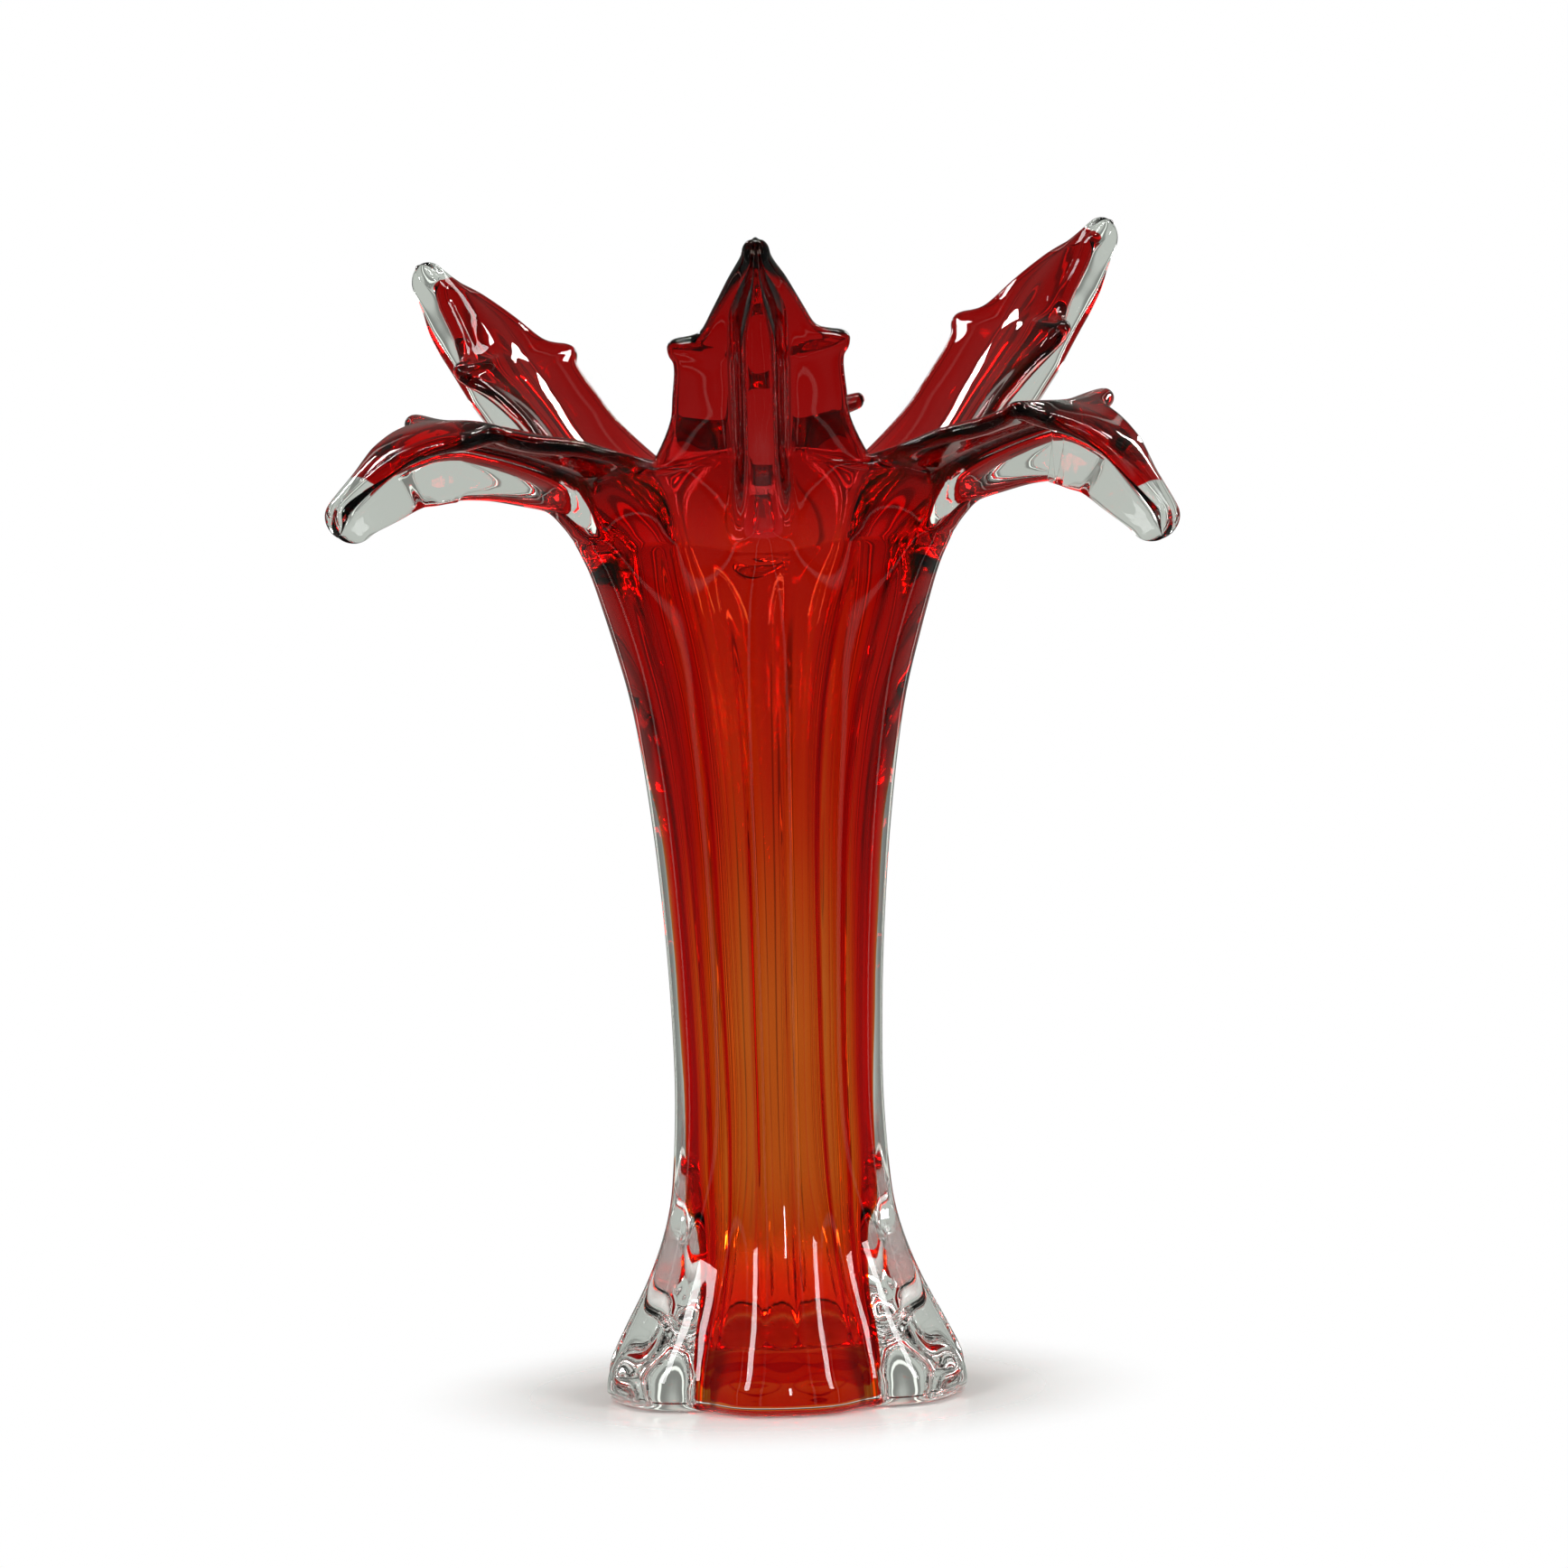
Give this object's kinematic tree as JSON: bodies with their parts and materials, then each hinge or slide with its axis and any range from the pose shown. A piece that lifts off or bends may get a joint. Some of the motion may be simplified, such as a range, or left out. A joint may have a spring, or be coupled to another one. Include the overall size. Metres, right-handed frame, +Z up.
{
  "type": "vase",
  "caption": "Tall hand blown glass vase: a ribbed trunk on a lobed foot, its rim drawn into long upright and drooping fingers, ruby to amber inside clear glass.",
  "frame": {"origin": "centre of the foot's flat underside", "axes": "+Z up along the trunk, -Y towards the upright finger at the front of the picture, +X to the picture's right"},
  "size_m": [0.2267, 0.2417, 0.3223],
  "materials": {
    "clear_glass": "fire polished, clear",
    "amber_glass": "fire polished, transparent amber",
    "ruby_glass": "fire polished, transparent ruby"
  },
  "bodies": {
    "root": {"clear_casing": "clear_glass", "amber_layer": "amber_glass", "ruby_layer": "ruby_glass", "front_upright_finger": "clear_glass", "front_upright_ruby_facing": "ruby_glass", "front_right_drooping_finger": "clear_glass", "front_right_drooping_ruby_facing": "ruby_glass", "rear_right_upright_finger": "clear_glass", "rear_right_upright_ruby_facing": "ruby_glass", "rear_drooping_finger": "clear_glass", "rear_drooping_ruby_facing": "ruby_glass", "rear_left_upright_finger": "clear_glass", "rear_left_upright_ruby_facing": "ruby_glass", "front_left_drooping_finger": "clear_glass", "front_left_drooping_ruby_facing": "ruby_glass"}
  },
  "joints": []
}
